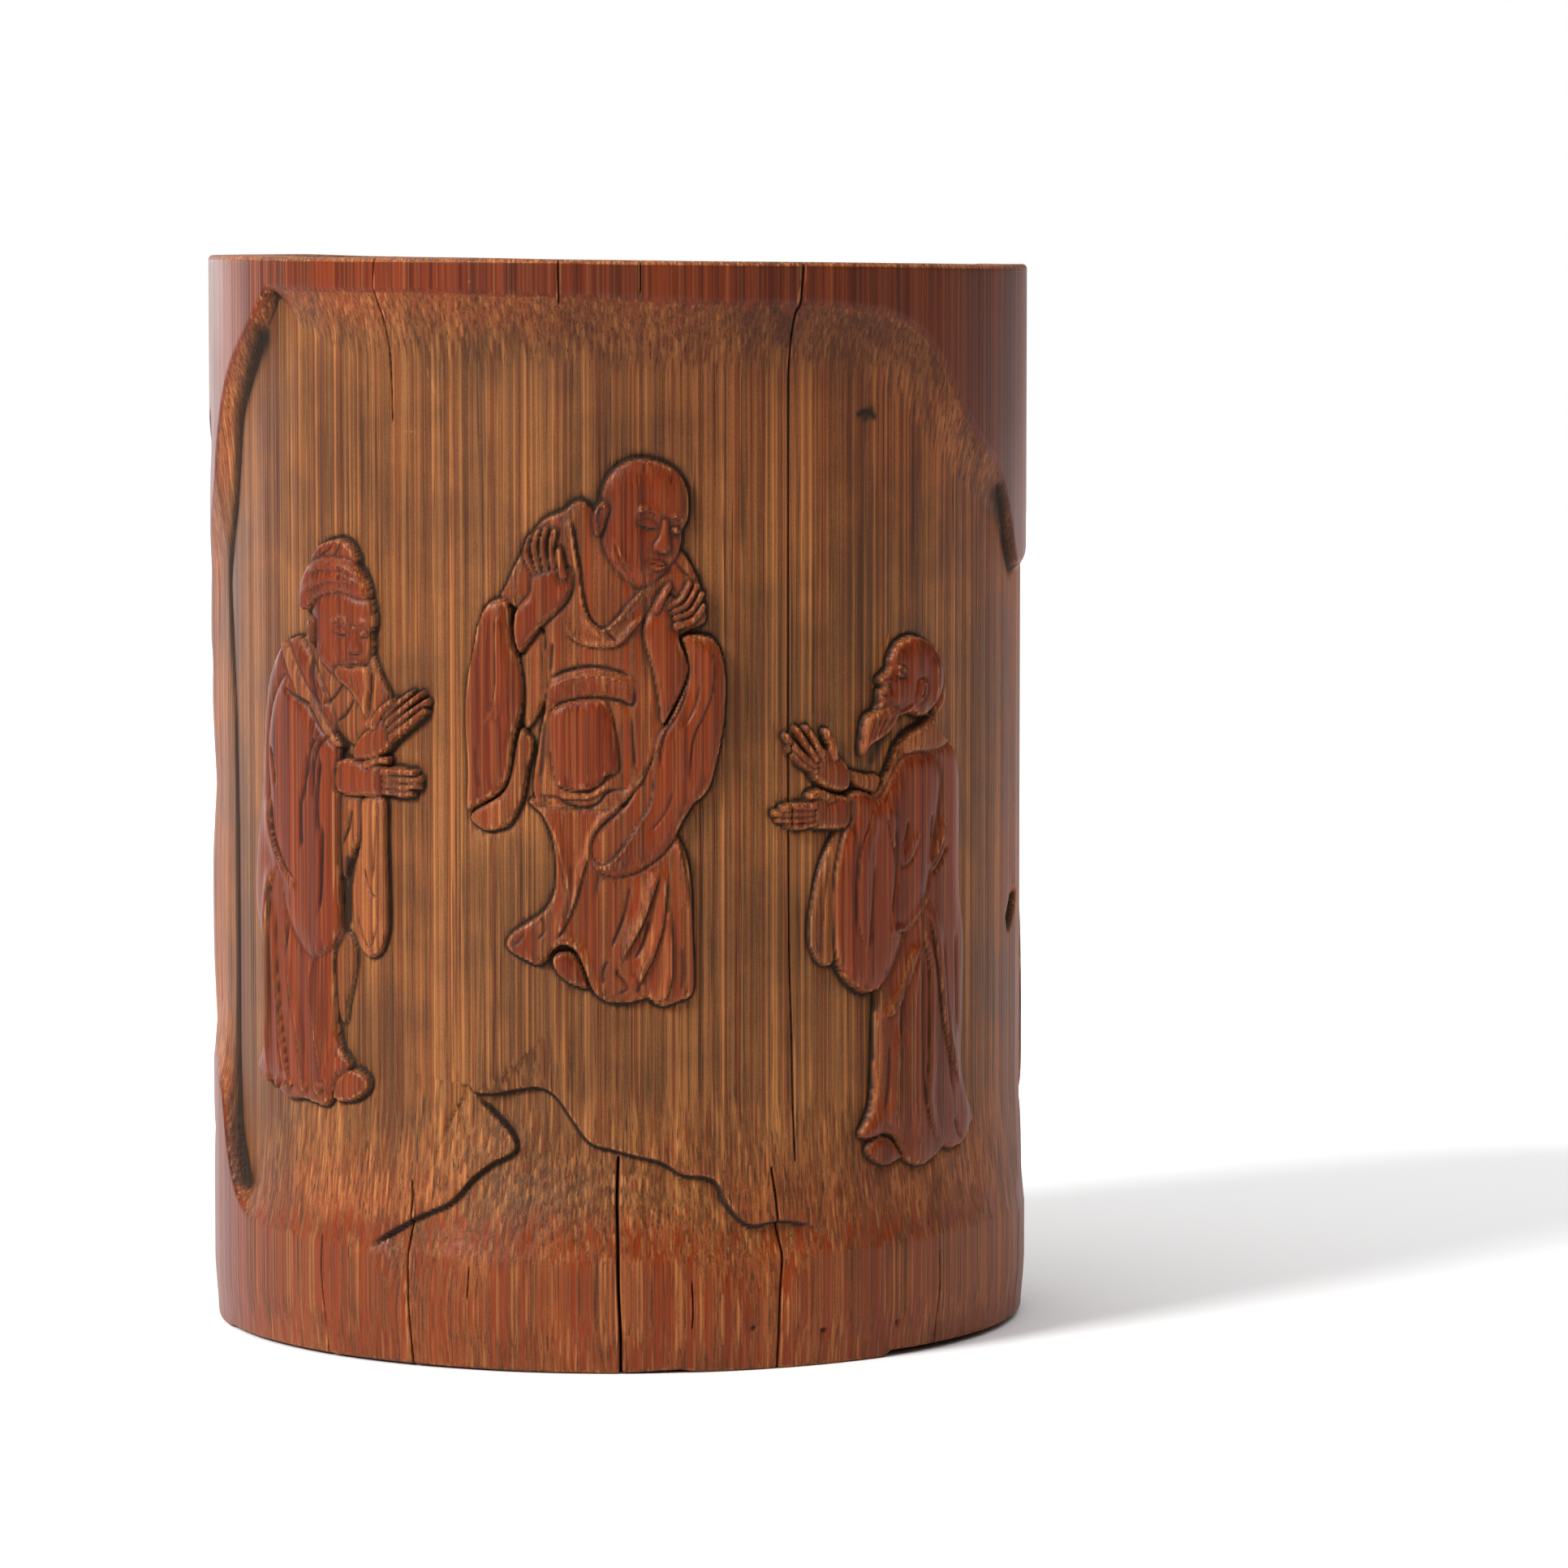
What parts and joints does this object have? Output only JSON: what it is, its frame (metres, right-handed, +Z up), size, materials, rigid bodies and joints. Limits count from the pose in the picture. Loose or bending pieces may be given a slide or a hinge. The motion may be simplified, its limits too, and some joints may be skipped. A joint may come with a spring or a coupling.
{
  "type": "brush holder pot",
  "caption": "Upright round bamboo brush pot, open at the top, with carved relief round the outside, a let-in floor board and low feet.",
  "frame": {"origin": "centre of the base, on the plane that the three feet rest on", "axes": "+Z up along the culm's axis, out of the mouth; the carved front with the three figures faces -Y; +X to the right of someone looking at the front"},
  "size_m": [0.1192, 0.1192, 0.155],
  "materials": {
    "carved_bamboo": "old hand-rubbed bamboo, reddish brown skin, satin to semi-gloss, fine upright fibres",
    "floor_wood": "oiled dark hardwood, satin",
    "floor_lacquer": "dark brown lacquer, semi-gloss"
  },
  "bodies": {
    "root": {"culm_wall": "carved_bamboo", "floor_board": "floor_wood", "floor_bead": "floor_lacquer"}
  },
  "joints": []
}
